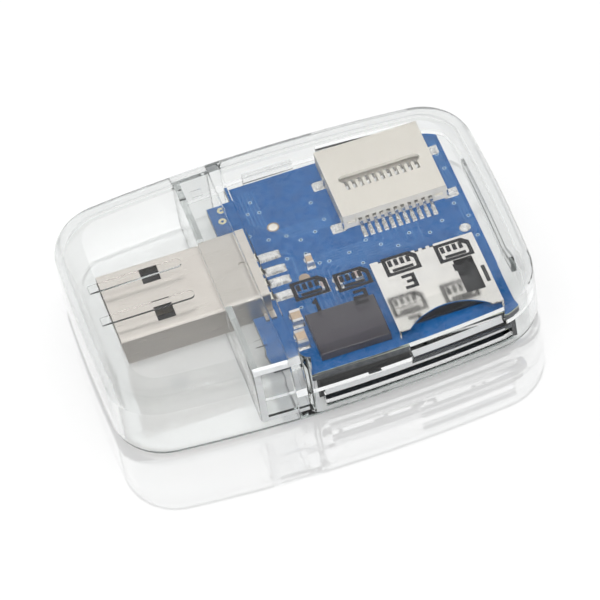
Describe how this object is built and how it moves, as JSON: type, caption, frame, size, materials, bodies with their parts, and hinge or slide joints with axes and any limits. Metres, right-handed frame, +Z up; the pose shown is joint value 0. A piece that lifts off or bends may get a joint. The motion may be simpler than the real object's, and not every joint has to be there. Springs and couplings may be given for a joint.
{
  "type": "usb memory card reader",
  "caption": "Clear pocket card reader with a USB plug under a clear pull-off cap, a blue circuit board seen through the case, and card slots at the front and back",
  "frame": {"origin": "middle of the underside, on the surface it lies on", "axes": "X along the length with the plug towards -X, Y to the back, Z up"},
  "size_m": [0.055, 0.0382, 0.0115],
  "materials": {
    "clear_plastic": "polished clear moulding",
    "board_blue": "glossy solder mask",
    "plug_steel": "satin plated sheet",
    "tongue_plastic": "moulded",
    "contact_metal": "tinned",
    "cream_plastic": "moulded",
    "black_plastic": "moulded",
    "shell_steel": "bright rolled sheet",
    "chip_grey": "moulded package",
    "ceramic_tan": "fired ceramic",
    "resistor_dark": "coated ceramic"
  },
  "bodies": {
    "reader": {"bottom_case": "clear_plastic", "capacitor_1": "ceramic_tan", "capacitor_2": "ceramic_tan", "capacitor_3": "ceramic_tan", "circuit_board": "board_blue", "controller_chip": "chip_grey", "front_socket_base": "black_plastic", "front_socket_contact_1": "contact_metal", "front_socket_contact_2": "contact_metal", "front_socket_contact_3": "contact_metal", "front_socket_contact_4": "contact_metal", "front_socket_contact_5": "contact_metal", "front_socket_contact_6": "contact_metal", "front_socket_contact_7": "contact_metal", "front_socket_contact_8": "contact_metal", "front_socket_shell": "shell_steel", "lower_socket_contact_1": "contact_metal", "lower_socket_contact_2": "contact_metal", "lower_socket_contact_3": "contact_metal", "lower_socket_contact_4": "contact_metal", "lower_socket_contact_5": "contact_metal", "lower_socket_contact_6": "contact_metal", "lower_socket_contact_7": "contact_metal", "lower_socket_contact_8": "contact_metal", "lower_socket_contact_9": "contact_metal", "lower_socket_frame": "black_plastic", "lower_socket_shell": "shell_steel", "plug_contact_1": "contact_metal", "plug_contact_2": "contact_metal", "plug_contact_3": "contact_metal", "plug_contact_4": "contact_metal", "plug_shell": "plug_steel", "plug_tongue": "tongue_plastic", "rear_socket_contact_1": "contact_metal", "rear_socket_contact_10": "contact_metal", "rear_socket_contact_11": "contact_metal", "rear_socket_contact_2": "contact_metal", "rear_socket_contact_3": "contact_metal", "rear_socket_contact_4": "contact_metal", "rear_socket_contact_5": "contact_metal", "rear_socket_contact_6": "contact_metal", "rear_socket_contact_7": "contact_metal", "rear_socket_contact_8": "contact_metal", "rear_socket_contact_9": "contact_metal", "rear_socket_housing": "cream_plastic", "rear_socket_tab_1": "contact_metal", "rear_socket_tab_2": "contact_metal", "rear_socket_tab_3": "contact_metal", "rear_socket_tab_4": "contact_metal", "resistor_1": "resistor_dark", "resistor_2": "resistor_dark", "resistor_3": "resistor_dark", "top_case": "clear_plastic"},
    "cap": {"cap": "clear_plastic"}
  },
  "joints": [
    {"name": "cap_pull", "type": "slide", "parent": "reader", "child": "cap", "axis": [-1, 0, 0], "range_m": [0, 0.02]}
  ]
}
